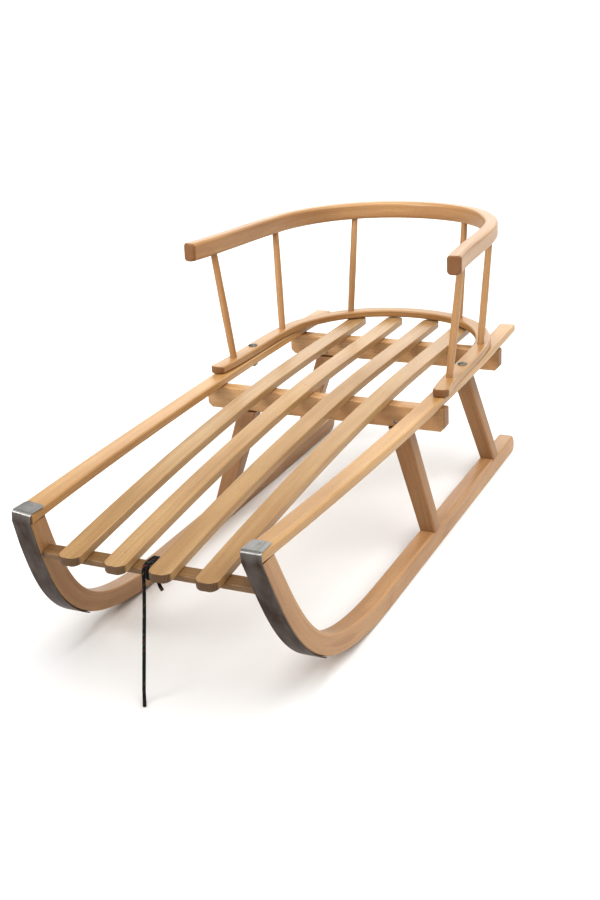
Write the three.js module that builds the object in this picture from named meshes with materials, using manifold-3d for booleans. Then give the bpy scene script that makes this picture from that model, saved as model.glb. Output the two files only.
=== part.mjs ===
// A wooden toboggan: two bent runners, a slatted seat and a low bentwood backrest, with a pull rope.
// Millimetres, +Z up. Pieces are drawn with x out from the middle, y back from the front tips of the
// rails and z up from the ground; add() then moves them so that the origin is under the middle.
import * as THREE from 'three';
import { mergeVertices } from 'three/addons/utils/BufferGeometryUtils.js';
import Module from 'manifold-3d';

const wasm = await Module();
wasm.setup();

// Driving dimensions
const GAP = 0.3;                      // clearance between touching pieces
const TIP_TO_ORIGIN = 464;            // from the rail tips back to the origin
const SEAT_BASE = 203;                // top of the beams and of the runner noses

const RAIL = { length: 890, width: 25, thickness: 11.7, front: 153.5, bow: 188.7, rear: 172.3 };
const RAIL_TOP = SEAT_BASE + GAP + RAIL.thickness;

const RUNNER = { face: 172.8, lean: 0.093, thickness: 23, height: 26, end: 892, ease: 2.5 };
const NOSE_OUTER = [[0, SEAT_BASE], [48, 86], [72, 0], [320, 0]];
const NOSE_INNER = [[30, SEAT_BASE], [87, 76], [109, RUNNER.height], [322, RUNNER.height]];

const NOSE_SEGMENTS = 15;             // straight facets along a nose curve
const STRIP = { width: 24.4, thickness: 1.2, plateLength: 27.5, bend: 3, noseSegments: 9 };
const STRIP_NAIL = { x: 142, y: 20, length: 30 };

const BEAM = { depth: 20, height: 33, chamfer: 6, shift: 2 };
const MIDDLE_BEAM = { y: 512, halfLength: 180, legTop: 129.3, legFootY: 503 };
const REAR_BEAM = { y: 790.5, halfLength: 174.5, legTop: 126.3, legFootY: 789.3 };
const LEG = { foot: 171.8, footThickness: 23.5, topThickness: 28, depth: 25, ease: 3 };
const LEG_PIN = { length: 17, inset: 3, rise: 7.5 };
const FOOT_TENON = { x: 160, width: 12, depth: 18, height: 15 };
const TOP_TENON = { width: 16, depth: 10, height: 15 };

const FRONT_BAR = { y: 29, z: 161, depth: 19.5, height: 8.5, halfLength: 133.8, tilt: 0.129 };
const BAR_TENON = { offset: 0, depth: 11, height: 6.4, halfLength: 149 };

const SLAT = { width: 27.5, thickness: 10.5, corner: 10, ease: 1.6 };
// The slats' underside, from ahead of their tips to the rear beam: (y, z) along two Bezier curves
const ARCH_NOSE = [[-8, 160.75], [257.5, 196], [MIDDLE_BEAM.y, SEAT_BASE + GAP]];
const ARCH_BACK = [ARCH_NOSE[2], [604, 205.9], [697, 203.8], [REAR_BEAM.y, SEAT_BASE + GAP]];
const SLATS = [
  { name: 'slat_1', front: -88.5, rear: -86.5, tip: 0, end: 872 },
  { name: 'slat_2', front: -29.5, rear: -27.5, tip: -0.5, end: 886 },
  { name: 'slat_3', front: 27.2, rear: 35, tip: -1.5, end: 886 },
  { name: 'slat_4', front: 84.5, rear: 93, tip: -2, end: 872 },
];
const SLAT_NAIL_ROWS = [
  { place: 'front', y: 29, length: 13 },
  { place: 'middle', y: 516, length: 26 },
  { place: 'rear', y: 792, length: 26 },
];

// Centreline of each hoop on the right-hand side, as two Bezier curves from its tip to its middle.
// The left half mirrors it, but for its own tip.
const LOWER_HOOP = {
  route: [
    [172.5, 513.5], [159.7, 600], [173.3, 721.4], [153.2, 778.4],
    [127, 852.5], [70.6, 891.5], [0, 891.5],
  ],
  leftTip: [171.7, 519.5],
  width: 23, height: 11, bottom: RAIL_TOP + GAP, rise: 0, ease: 2.5, tip: 8,
};
const UPPER_HOOP = {
  route: [
    [193, 512.5], [177.5, 599], [180.8, 728.2], [162.8, 786.5],
    [135, 876.5], [73.7, 920], [0, 920],
  ],
  leftTip: [192.9, 500.5],
  width: 20, height: 26, bottom: 374, rise: 0.028, ease: 4, tip: 6.5,
};

const SPINDLE = { neck: 9.6, belly: 11, footSocket: 8, topSocket: 14 };
const SPINDLES = [
  {
    name: 'spindle_front',
    left: { foot: [167, 568.5], top: [185.8, 562.5] },
    right: { foot: [167, 570.5], top: [186.1, 563.5] },
  },
  {
    name: 'spindle_middle',
    left: { foot: [162.5, 730], top: [171.7, 741.5] },
    right: { foot: [161.8, 736], top: [170.5, 750] },
  },
  {
    name: 'spindle_back',
    left: { foot: [97.3, 859.7], top: [97.1, 888.2] },
    right: { foot: [87.5, 866.7], top: [87.2, 895.2] },
  },
];

const BOLT = { x: 166.3, y: 632, diameter: 6, head: 13.5, domeHeight: 2.6 };
const WASHER = { outer: 16, thickness: 1.4, top: SEAT_BASE };
const NUT = { acrossFlats: 10, height: 5 };
const NAIL = { shank: 2.4, head: 5, headHeight: 0.8 };
const DOWEL = { diameter: 8, above: 7, below: 16 };

const ROPE_DIAMETER = 4;
const WRAP = { turns: 2.75, firstX: 11.4, pitch: 4.1, radius: 9.3, frontY: 24.7, rearY: 35, z: 161.2 };
const ROPE_TAIL = [[24.5, 13, 145], [21.5, 14, 148.5], [17.7, 17, 151.4], [13.9, 22.5, 152]];
const ROPE_FALL = [
  [0.2, 15.2, 152], [-0.8, 15.2, 138], [-2.4, 15.2, 120], [-4.9, 15.2, 95], [-7.3, 15.1, 70],
  [-9.7, 15, 45], [-11.6, 14.9, 25], [-12.6, 14.6, 12.5], [-11.4, 12.1, 5],
  [-8.3, 6.9, 2.4], [-5.3, 1.8, 2.3],
];

const SIDES = [{ name: 'left', side: -1 }, { name: 'right', side: 1 }];

// Materials
function material(color, roughness, metalness) {
  return new THREE.MeshStandardMaterial({ color, roughness, metalness });
}
const beech = () => material(0xd2ab82, 0.55, 0);
const bentBeech = () => material(0xc99a6c, 0.5, 0);
const stripSteel = () => material(0x6f6d69, 0.38, 1);
const fastenerSteel = () => material(0xa7a6a2, 0.35, 1);
const ropeBraid = () => material(0x17171a, 0.85, 0);

// Helpers
const SIDE_VIEW = new THREE.Matrix4().makeBasis(
  new THREE.Vector3(0, 1, 0), new THREE.Vector3(0, 0, 1), new THREE.Vector3(1, 0, 0));
const FRONT_VIEW = new THREE.Matrix4().makeBasis(
  new THREE.Vector3(1, 0, 0), new THREE.Vector3(0, 0, 1), new THREE.Vector3(0, -1, 0));

const toboggan = new THREE.Group();

function add(name, geometry, finish) {
  const mesh = new THREE.Mesh(geometry, finish);
  mesh.name = name;
  mesh.position.y = -TIP_TO_ORIGIN;
  toboggan.add(mesh);
}

// Extrudes an outline over `thickness` starting at `from`, with its rim eased by `ease`.
function board(outline, from, thickness, ease, curveSegments = 20) {
  const geometry = new THREE.ExtrudeGeometry(outline, {
    depth: thickness - 2 * ease,
    curveSegments,
    bevelEnabled: ease > 0,
    bevelThickness: ease,
    bevelSize: ease,
    bevelOffset: -ease,
    bevelSegments: 1,
  });
  return geometry.translate(0, 0, from + ease);
}

// A rectangle with its corners rounded by `radius`, centred on (u, v).
function roundedRectangle(u, v, width, height, radius) {
  const [left, right, low, high] = [u - width / 2, u + width / 2, v - height / 2, v + height / 2];
  const shape = new THREE.Shape();
  shape.moveTo(left + radius, low).lineTo(right - radius, low);
  shape.absarc(right - radius, low + radius, radius, -Math.PI / 2, 0);
  shape.absarc(right - radius, high - radius, radius, 0, Math.PI / 2);
  shape.absarc(left + radius, high - radius, radius, Math.PI / 2, Math.PI);
  shape.absarc(left + radius, low + radius, radius, Math.PI, 1.5 * Math.PI);
  return shape;
}

// A shear: the coordinate `along` gains `slope` times the coordinate `by`.
function shear(along, by, slope) {
  const rows = [[1, 0, 0, 0], [0, 1, 0, 0], [0, 0, 1, 0], [0, 0, 0, 1]];
  rows['xyz'.indexOf(along)]['xyz'.indexOf(by)] = slope;
  return new THREE.Matrix4().set(...rows.flat());
}

function box(x, y, z, width, depth, height) {
  return new THREE.BoxGeometry(width, depth, height).translate(x, y, z);
}

function turned(profile, segments) {
  const points = profile.map(([radius, height]) => new THREE.Vector2(radius, height));
  return new THREE.LatheGeometry(points, segments).rotateX(Math.PI / 2);
}

function rod(x, y, bottom, top, diameter, segments = 12) {
  const radius = diameter / 2;
  return turned([[0, bottom], [radius, bottom], [radius, top], [0, top]], segments).translate(x, y, 0);
}

// Moves a piece drawn along +Z from the origin so that it runs from `foot` towards `top`.
function aim(geometry, foot, top) {
  const direction = new THREE.Vector3().subVectors(top, foot).normalize();
  const turn = new THREE.Quaternion().setFromUnitVectors(new THREE.Vector3(0, 0, 1), direction);
  return geometry.applyQuaternion(turn).translate(foot.x, foot.y, foot.z);
}

function toSolid(geometry) {
  const bare = geometry.clone();
  bare.deleteAttribute('normal');
  bare.deleteAttribute('uv');
  const merged = mergeVertices(bare, 1e-4);
  const corners = [];
  for (let start = 0; start < merged.index.count; start += 3) {
    const [a, b, c] = merged.index.array.slice(start, start + 3);
    if (a !== b && b !== c && c !== a) corners.push(a, b, c);
  }
  return new wasm.Manifold(new wasm.Mesh({
    numProp: 3,
    vertProperties: merged.attributes.position.array,
    triVerts: Uint32Array.from(corners),
  }));
}

function toGeometry(solid) {
  const mesh = solid.getMesh();
  const geometry = new THREE.BufferGeometry();
  geometry.setAttribute('position', new THREE.BufferAttribute(mesh.vertProperties, 3));
  geometry.setIndex(new THREE.BufferAttribute(mesh.triVerts, 1));
  return geometry;
}

function join(geometry, ...extras) {
  return toGeometry(extras.reduce((solid, extra) => solid.add(toSolid(extra)), toSolid(geometry)));
}

function cut(geometry, ...tools) {
  return toGeometry(tools.reduce((solid, tool) => solid.subtract(toSolid(tool)), toSolid(geometry)));
}

function keepInside(geometry, limit) {
  return toGeometry(toSolid(geometry).intersect(toSolid(limit)));
}

// Heights and places that several pieces share
function slatUnderside(y) {
  const rise = FRONT_BAR.tilt * (y - FRONT_BAR.y);
  return y < 100 ? FRONT_BAR.z + FRONT_BAR.height / 2 + rise + GAP : SEAT_BASE + GAP;
}

function slatCentre(slat, y) {
  return slat.front + (slat.rear - slat.front) * y / RAIL.length;
}

// Joinery: the clearance pockets and the holes
function footTenon(side, beam, spare) {
  const top = RUNNER.height + 2;
  const bottom = RUNNER.height + GAP - FOOT_TENON.height - spare;
  return box(side * FOOT_TENON.x, beam.legFootY, (top + bottom) / 2,
    FOOT_TENON.width + 2 * spare, FOOT_TENON.depth + 2 * spare, top - bottom);
}

function topTenon(side, beam, spare) {
  const bottom = SEAT_BASE - BEAM.height - 2;
  const top = SEAT_BASE - BEAM.height - GAP + TOP_TENON.height + spare;
  return box(side * (beam.legTop - LEG.topThickness / 2), beam.y, (top + bottom) / 2,
    TOP_TENON.width + 2 * spare, TOP_TENON.depth + 2 * spare, top - bottom);
}

function barTenon(spare) {
  const outline = roundedRectangle(BAR_TENON.offset, 0, BAR_TENON.depth + 2 * spare,
    BAR_TENON.height + 2 * spare, 1.5);
  const length = 2 * (BAR_TENON.halfLength + spare);
  return tiltBar(board(outline, -length / 2, length, 0, 3).applyMatrix4(SIDE_VIEW));
}

function tiltBar(geometry) {
  return geometry.rotateX(Math.atan(FRONT_BAR.tilt)).translate(0, FRONT_BAR.y, FRONT_BAR.z);
}

function spindleEnds(spindle, { name, side }) {
  const [footX, footY] = spindle[name].foot;
  const [topX, topY] = spindle[name].top;
  const topZ = UPPER_HOOP.bottom + UPPER_HOOP.rise * (UPPER_HOOP.route[6][1] - topY);
  return {
    foot: new THREE.Vector3(side * footX, footY, LOWER_HOOP.bottom + LOWER_HOOP.height),
    top: new THREE.Vector3(side * topX, topY, topZ),
  };
}

function spindleSockets(spindle, place) {
  const { foot, top } = spindleEnds(spindle, place);
  const length = foot.distanceTo(top);
  const radius = SPINDLE.neck / 2 + GAP;
  const low = -SPINDLE.footSocket - GAP;
  const high = length + SPINDLE.topSocket + GAP;
  return aim(turned([[0, low], [radius, low], [radius, high], [0, high]], 16), foot, top);
}

function boltHole(side) {
  return rod(side * BOLT.x, BOLT.y, SEAT_BASE - 10, RAIL_TOP + 30, BOLT.diameter + 2 * GAP);
}

function stripNailHole(side, bottom) {
  return rod(side * STRIP_NAIL.x, STRIP_NAIL.y, bottom, RAIL_TOP + 5, NAIL.shank + 2 * GAP, 8);
}

function nailPlace(slat, row) {
  return { x: slatCentre(slat, row.y), y: row.y, top: slatUnderside(row.y) + SLAT.thickness };
}

function nailHoles(row) {
  return SLATS.map((slat) => {
    const { x, y, top } = nailPlace(slat, row);
    return rod(x, y, top - row.length - GAP, top + 2, NAIL.shank + 2 * GAP, 8);
  });
}

function dowelPlaces() {
  return [MIDDLE_BEAM, REAR_BEAM].map((beam) => ({ x: beam.halfLength - 15, y: beam.y }));
}

function dowelHoles(side, bottom, top) {
  return dowelPlaces().map(({ x, y }) => rod(side * x, y, bottom, top, DOWEL.diameter + 2 * GAP));
}

// Frame
function rail(side) {
  const { length, width, front, bow, rear } = RAIL;
  const corner = 5;
  const outline = new THREE.Shape();
  outline.moveTo(side * front, 0);
  outline.quadraticCurveTo(side * bow, length / 2, side * rear, length - corner);
  outline.quadraticCurveTo(side * rear, length, side * (rear - corner), length);
  outline.lineTo(side * (rear - width + corner), length);
  outline.quadraticCurveTo(side * (rear - width), length, side * (rear - width), length - corner);
  outline.quadraticCurveTo(side * (bow - width), length / 2, side * (front - width), 0);
  const blank = board(outline, SEAT_BASE + GAP, RAIL.thickness, 2.5, 8);
  const nailHole = stripNailHole(side, SEAT_BASE - 5);
  return cut(blank, boltHole(side), nailHole,
    ...dowelHoles(side, SEAT_BASE - 2, SEAT_BASE + DOWEL.above + GAP));
}

function leanWithRunner(geometry, side) {
  return geometry.applyMatrix4(shear('x', 'z', -side * RUNNER.lean));
}

function acrossRunner(side, width) {
  const middle = side * (RUNNER.face - RUNNER.thickness / 2);
  return middle - width / 2;
}

function runner(side) {
  const { height, end, thickness, ease } = RUNNER;
  const outline = new THREE.Shape();
  outline.moveTo(...NOSE_OUTER[0]);
  outline.bezierCurveTo(...NOSE_OUTER.slice(1).flat());
  outline.lineTo(end - 12, 0);
  outline.quadraticCurveTo(end, 0, end, 12);
  outline.lineTo(end, height - 8);
  outline.quadraticCurveTo(end, height, end - 8, height);
  outline.lineTo(...NOSE_INNER[3]);
  outline.bezierCurveTo(...NOSE_INNER.slice(0, 3).reverse().flat());
  const blank = board(outline, acrossRunner(side, thickness), thickness, ease, NOSE_SEGMENTS)
    .applyMatrix4(SIDE_VIEW);
  const nailHole = stripNailHole(side, RAIL_TOP - STRIP_NAIL.length - GAP);
  return cut(leanWithRunner(blank, side), barTenon(GAP), nailHole,
    footTenon(side, MIDDLE_BEAM, GAP), footTenon(side, REAR_BEAM, GAP));
}

// Stations along the outside of the rail end and the runner's nose: a point and its outward normal.
function stripStations() {
  const { plateLength, bend, noseSegments } = STRIP;
  const stations = [[new THREE.Vector2(plateLength, RAIL_TOP), new THREE.Vector2(0, 1)]];
  for (let step = 0; step <= 4; step += 1) {
    const angle = Math.PI / 2 * (1 + step / 4);
    const normal = new THREE.Vector2(Math.cos(angle), Math.sin(angle));
    stations.push([new THREE.Vector2(bend, RAIL_TOP - bend).addScaledVector(normal, bend), normal]);
  }
  const nose = new THREE.CubicBezierCurve(...NOSE_OUTER.map(([y, z]) => new THREE.Vector2(y, z)));
  for (let step = 0; step <= noseSegments; step += 1) {
    const share = step / NOSE_SEGMENTS;
    const tangent = nose.getTangent(share);
    stations.push([nose.getPoint(share), new THREE.Vector2(tangent.y, -tangent.x)]);
  }
  return stations;
}

function noseStrip(side) {
  const stations = stripStations();
  const offset = (distance) => stations.map(
    ([point, normal]) => point.clone().addScaledVector(normal, distance));
  const outline = new THREE.Shape([...offset(GAP + STRIP.thickness), ...offset(GAP).reverse()]);
  const blank = board(outline, acrossRunner(side, STRIP.width), STRIP.width, 0).applyMatrix4(SIDE_VIEW);
  return cut(leanWithRunner(blank, side), stripNailHole(side, RAIL_TOP - 2));
}

function stripNail(side) {
  const top = RAIL_TOP + GAP + STRIP.thickness;
  return nail(STRIP_NAIL.length).translate(side * STRIP_NAIL.x, STRIP_NAIL.y, top);
}

function beam({ y, halfLength, legTop, legFootY }) {
  const { depth, height, chamfer, shift } = BEAM;
  const [left, right, bottom] = [shift - halfLength, shift + halfLength, SEAT_BASE - height];
  const outline = new THREE.Shape([
    [left, SEAT_BASE], [left, bottom + chamfer], [left + chamfer, bottom],
    [right - chamfer, bottom], [right, bottom + chamfer], [right, SEAT_BASE],
  ].map(([x, z]) => new THREE.Vector2(x, z)));
  const blank = board(outline, -(y + depth / 2), depth, 2.5).applyMatrix4(FRONT_VIEW);
  const row = SLAT_NAIL_ROWS.find((candidate) => Math.abs(candidate.y - y) < depth);
  const place = { y, legTop, legFootY };
  return cut(blank, topTenon(-1, place, GAP), topTenon(1, place, GAP), ...nailHoles(row),
    legPinHole(-1, place), legPinHole(1, place),
    ...SIDES.flatMap(({ side }) => dowelHoles(side, SEAT_BASE - DOWEL.below - GAP, SEAT_BASE + 5)));
}

function frontBar() {
  const outline = roundedRectangle(0, 0, FRONT_BAR.depth, FRONT_BAR.height, 2.5);
  const length = 2 * FRONT_BAR.halfLength;
  const blank = tiltBar(board(outline, -length / 2, length, 0, 3).applyMatrix4(SIDE_VIEW));
  return cut(join(blank, barTenon(0)), ...nailHoles(SLAT_NAIL_ROWS[0]));
}

function leg(side, beamPlace) {
  const bottom = RUNNER.height + GAP;
  const top = SEAT_BASE - BEAM.height - GAP;
  const outline = new THREE.Shape([
    [LEG.foot, bottom], [LEG.foot - LEG.footThickness, bottom],
    [beamPlace.legTop - LEG.topThickness, top], [beamPlace.legTop, top],
  ].map(([x, z]) => new THREE.Vector2(side * x, z)));
  const drift = (beamPlace.y - beamPlace.legFootY) / (top - bottom);
  const post = board(outline, -LEG.depth / 2, LEG.depth, LEG.ease).applyMatrix4(FRONT_VIEW);
  post.translate(0, 0, -bottom).applyMatrix4(shear('y', 'z', drift)).translate(0, beamPlace.legFootY, bottom);
  const jointed = join(post, footTenon(side, beamPlace, 0), topTenon(side, beamPlace, 0));
  return cut(jointed, legPinHole(side, beamPlace));
}

// Seat
function slat({ front, rear, tip, end }) {
  const { width, thickness, corner, ease } = SLAT;
  const upper = ([y, z]) => [y, z + thickness];
  const outline = new THREE.Shape();
  outline.moveTo(...ARCH_NOSE[0]);
  outline.quadraticCurveTo(...ARCH_NOSE.slice(1).flat());
  outline.bezierCurveTo(...ARCH_BACK.slice(1).flat());
  outline.lineTo(end, SEAT_BASE + GAP);
  outline.lineTo(end, SEAT_BASE + GAP + thickness);
  outline.lineTo(...upper(ARCH_BACK[3]));
  outline.bezierCurveTo(...ARCH_BACK.slice(0, 3).reverse().flatMap(upper));
  outline.quadraticCurveTo(...ARCH_NOSE.slice(0, 2).reverse().flatMap(upper));
  const blank = board(outline, front - width / 2, width, ease, 8).applyMatrix4(SIDE_VIEW);
  const plan = roundedRectangle(front, (tip + end) / 2, width + 0.2, end - tip, corner);
  const rounded = keepInside(blank, board(plan, ARCH_NOSE[0][1] - 10, 80, 0, 3));
  return rounded.applyMatrix4(shear('x', 'y', (rear - front) / RAIL.length));
}

function drilledSlat(place) {
  const holes = SLAT_NAIL_ROWS.map((row) => {
    const { x, y, top } = nailPlace(place, row);
    return rod(x, y, top - 20, top + 5, NAIL.shank + 2 * GAP, 8);
  });
  return cut(slat(place), ...holes);
}

// Backrest
function hoopOutline({ route, leftTip, width, tip }) {
  const right = hoopHalf(route, width, tip);
  const left = hoopHalf([leftTip, ...route.slice(1)], width, tip);
  const mirrored = left.slice(1, -1).reverse().map((point) => new THREE.Vector2(-point.x, point.y));
  return new THREE.Shape([...right, ...mirrored]);
}

function hoopHalf(route, width, tip) {
  const at = (index) => new THREE.Vector2(...route[index]);
  const pieces = [new THREE.CubicBezierCurve(at(0), at(1), at(2), at(3)),
    new THREE.CubicBezierCurve(at(3), at(4), at(5), at(6))];
  const stations = [[0.04, 0.16, 0.33, 0.5, 0.67, 0.83], [0, 0.14, 0.28, 0.42, 0.56, 0.7, 0.85, 1]];
  const flank = (distance) => pieces.flatMap((curve, piece) => stations[piece].map((share) => {
    const tangent = curve.getTangent(share);
    const normal = new THREE.Vector2(tangent.y, -tangent.x);
    return curve.getPoint(share).addScaledVector(normal, distance);
  }));
  return [...flank(-width / 2).reverse(), ...tipArc(pieces[0], width, tip), ...flank(width / 2)];
}

// The end of a hoop: two corners of radius `tip`, from its inner flank to its outer one.
function tipArc(curve, width, tip) {
  const start = curve.getPoint(0);
  const along = curve.getTangent(0);
  const out = new THREE.Vector2(along.y, -along.x);
  const points = [];
  for (const flank of [-1, 1]) {
    for (let step = 0; step <= 4; step += 1) {
      const angle = Math.PI / 2 * (flank < 0 ? step / 4 : 1 - step / 4);
      const across = flank * (width / 2 - tip + tip * Math.cos(angle));
      const back = tip - tip * Math.sin(angle);
      points.push(start.clone().addScaledVector(out, across).addScaledVector(along, back));
    }
  }
  return points;
}

function hoop(shape) {
  const blank = board(hoopOutline(shape), 0, shape.height, shape.ease);
  blank.applyMatrix4(shear('z', 'y', -shape.rise));
  blank.translate(0, 0, shape.bottom + shape.rise * shape.route[6][1]);
  return blank;
}

function eachSpindle(make) {
  return SPINDLES.flatMap((spindle) => SIDES.map((place) => make(spindle, place)));
}

function turnedSpindle(spindle, place) {
  const { foot, top } = spindleEnds(spindle, place);
  const length = foot.distanceTo(top);
  const { neck, belly, footSocket, topSocket } = SPINDLE;
  const profile = [
    [0, -footSocket], [neck / 2, -footSocket], [neck / 2, 0], [neck / 2 + 0.4, length * 0.08],
    [belly / 2 - 0.2, length * 0.25], [belly / 2, length * 0.45], [belly / 2 - 0.3, length * 0.7],
    [neck / 2 + 0.3, length * 0.92], [neck / 2, length], [neck / 2, length + topSocket],
    [0, length + topSocket],
  ];
  return aim(turned(profile, 16), foot, top);
}

// Fasteners
function nail(length) {
  const { shank, head, headHeight } = NAIL;
  return turned([
    [0, -length], [shank / 2, -length + 2], [shank / 2, GAP], [head / 2, GAP],
    [head / 3, GAP + headHeight], [0, GAP + headHeight],
  ], 8);
}

function legPinPlace(side, { y, legTop }) {
  const x = side * (legTop - LEG.topThickness / 2 - LEG_PIN.inset);
  return { x, y: y - BEAM.depth / 2, z: SEAT_BASE - BEAM.height + LEG_PIN.rise };
}

// The pins are driven back from a beam's front face, through its leg's tenon.
function drivenBack(geometry, { x, y, z }) {
  return geometry.rotateX(Math.PI / 2).translate(x, y, z);
}

function legPin(side, beamPlace) {
  return drivenBack(nail(LEG_PIN.length), legPinPlace(side, beamPlace));
}

function legPinHole(side, beamPlace) {
  const radius = NAIL.shank / 2 + GAP;
  const depth = LEG_PIN.length + GAP;
  const tool = turned([[0, -depth], [radius, -depth], [radius, 3], [0, 3]], 8);
  return drivenBack(tool, legPinPlace(side, beamPlace));
}

function carriageBolt(side) {
  const top = LOWER_HOOP.bottom + LOWER_HOOP.height;
  const [radius, head] = [BOLT.diameter / 2, BOLT.head / 2];
  const bottom = SEAT_BASE - 9;
  const dome = [[1, 0.1], [0.93, 0.42], [0.72, 0.74], [0.4, 0.94], [0, 1]];
  return turned([
    [0, bottom], [radius - 0.6, bottom], [radius, bottom + 0.8], [radius, top + GAP], [head, top + GAP],
    ...dome.map(([share, rise]) => [head * share, top + GAP + BOLT.domeHeight * rise]),
  ], 20).translate(side * BOLT.x, BOLT.y, 0);
}

function washer(side) {
  const [inner, outer] = [BOLT.diameter / 2 + GAP, WASHER.outer / 2];
  const [low, high] = [WASHER.top - WASHER.thickness, WASHER.top];
  return turned([[inner, low], [outer, low], [outer, high], [inner, high], [inner, low]], 20)
    .translate(side * BOLT.x, BOLT.y, 0);
}

function nut(side) {
  const top = WASHER.top - WASHER.thickness - GAP;
  const corners = NUT.acrossFlats / Math.sqrt(3);
  const hexagon = new THREE.CylinderGeometry(corners, corners, NUT.height, 6).rotateX(Math.PI / 2);
  hexagon.translate(side * BOLT.x, BOLT.y, top - NUT.height / 2);
  return cut(hexagon, rod(side * BOLT.x, BOLT.y, top - NUT.height - 1, top + 1, BOLT.diameter + 2 * GAP));
}

function dowel(side, { x, y }) {
  return rod(side * x, y, SEAT_BASE - DOWEL.below, SEAT_BASE + DOWEL.above, DOWEL.diameter);
}

// Rope: its tail, its turns round the front bar and its fall to the ground
function wrapPoint(turn) {
  const { firstX, pitch, radius, frontY, rearY, z } = WRAP;
  const angle = -Math.PI / 2 + 2 * Math.PI * turn;
  const share = THREE.MathUtils.clamp(0.5 + 1.1 * Math.cos(angle), 0, 1);
  const centreY = frontY + (rearY - frontY) * share;
  return [firstX - pitch * turn, centreY + radius * Math.cos(angle), z + radius * Math.sin(angle)];
}

function ropePoints() {
  const steps = 12 * WRAP.turns;
  const wraps = [];
  for (let step = 0; step <= steps; step += 1) {
    wraps.push(wrapPoint(WRAP.turns * step / steps));
  }
  return [...ROPE_TAIL, ...wraps, ...ROPE_FALL].map((point) => new THREE.Vector3(...point));
}

function rope() {
  const section = new THREE.Shape();
  section.absarc(0, 0, ROPE_DIAMETER / 2, 0, 2 * Math.PI);
  return new THREE.ExtrudeGeometry(section, {
    extrudePath: new THREE.CatmullRomCurve3(ropePoints()),
    steps: 62,
    curveSegments: 4,
    bevelEnabled: false,
  });
}

// Assembly
for (const { name, side } of SIDES) {
  add(`runner_${name}`, runner(side), bentBeech());
  add(`rail_${name}`, rail(side), beech());
  add(`nose_strip_${name}`, noseStrip(side), stripSteel());
  add(`strip_nail_${name}`, stripNail(side), fastenerSteel());
  add(`leg_front_${name}`, leg(side, MIDDLE_BEAM), beech());
  add(`leg_rear_${name}`, leg(side, REAR_BEAM), beech());
  add(`leg_pin_front_${name}`, legPin(side, MIDDLE_BEAM), fastenerSteel());
  add(`leg_pin_rear_${name}`, legPin(side, REAR_BEAM), fastenerSteel());
  add(`backrest_bolt_${name}`, carriageBolt(side), fastenerSteel());
  add(`backrest_washer_${name}`, washer(side), fastenerSteel());
  add(`backrest_nut_${name}`, nut(side), fastenerSteel());
  dowelPlaces().forEach((place, index) => {
    add(`rail_dowel_${['middle', 'rear'][index]}_${name}`, dowel(side, place), beech());
  });
}

add('front_bar', frontBar(), beech());
add('middle_beam', beam(MIDDLE_BEAM), beech());
add('rear_beam', beam(REAR_BEAM), beech());

for (const place of SLATS) {
  add(place.name, drilledSlat(place), beech());
  for (const row of SLAT_NAIL_ROWS) {
    const { x, y, top } = nailPlace(place, row);
    add(`${place.name}_nail_${row.place}`, nail(row.length).translate(x, y, top), fastenerSteel());
  }
}

const sockets = eachSpindle(spindleSockets);
add('lower_hoop', cut(hoop(LOWER_HOOP), ...sockets, boltHole(-1), boltHole(1)), bentBeech());
add('upper_hoop', cut(hoop(UPPER_HOOP), ...sockets), bentBeech());
eachSpindle((spindle, place) => {
  add(`${spindle.name}_${place.name}`, turnedSpindle(spindle, place), beech());
});

add('rope', rope(), ropeBraid());

export default toboggan;
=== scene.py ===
import math
import random

import bpy
import numpy as np
from mathutils import Matrix, Vector


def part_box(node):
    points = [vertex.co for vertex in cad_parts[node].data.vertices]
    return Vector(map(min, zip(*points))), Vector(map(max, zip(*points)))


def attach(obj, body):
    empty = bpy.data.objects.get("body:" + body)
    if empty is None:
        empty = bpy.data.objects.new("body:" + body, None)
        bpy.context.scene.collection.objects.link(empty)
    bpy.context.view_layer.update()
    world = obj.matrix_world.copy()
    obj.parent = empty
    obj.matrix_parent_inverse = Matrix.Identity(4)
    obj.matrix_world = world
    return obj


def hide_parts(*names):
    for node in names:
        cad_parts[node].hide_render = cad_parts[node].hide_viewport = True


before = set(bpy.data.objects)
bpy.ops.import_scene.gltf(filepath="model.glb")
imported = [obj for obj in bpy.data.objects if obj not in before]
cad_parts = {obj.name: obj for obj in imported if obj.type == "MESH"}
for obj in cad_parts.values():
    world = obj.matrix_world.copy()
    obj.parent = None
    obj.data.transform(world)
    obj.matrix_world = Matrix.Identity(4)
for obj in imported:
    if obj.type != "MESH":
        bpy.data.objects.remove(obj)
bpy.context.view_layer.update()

# Shapes are drawn in millimetres, as in the CAD: x out from the middle, y back from the rails' front
# tips and z up from the ground. to_frame() turns them into metres in the row's frame.
MM = 0.001
TIP_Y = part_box("rail_left")[0].y


def to_frame(points):
    return np.asarray(points, float) * MM + np.array([0.0, TIP_Y, 0.0])


# ---------------------------------------------------------------- camera and light

CAMERA_AZIMUTH = math.radians(25.231)
CAMERA_ELEVATION = math.radians(18.761)
CAMERA_ROLL = math.radians(-2.695)
CAMERA_TARGET = (-15.3, 459.6, 218.1)
CAMERA_DISTANCE = 1.7787
CAMERA_LENS = 51.98


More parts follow.
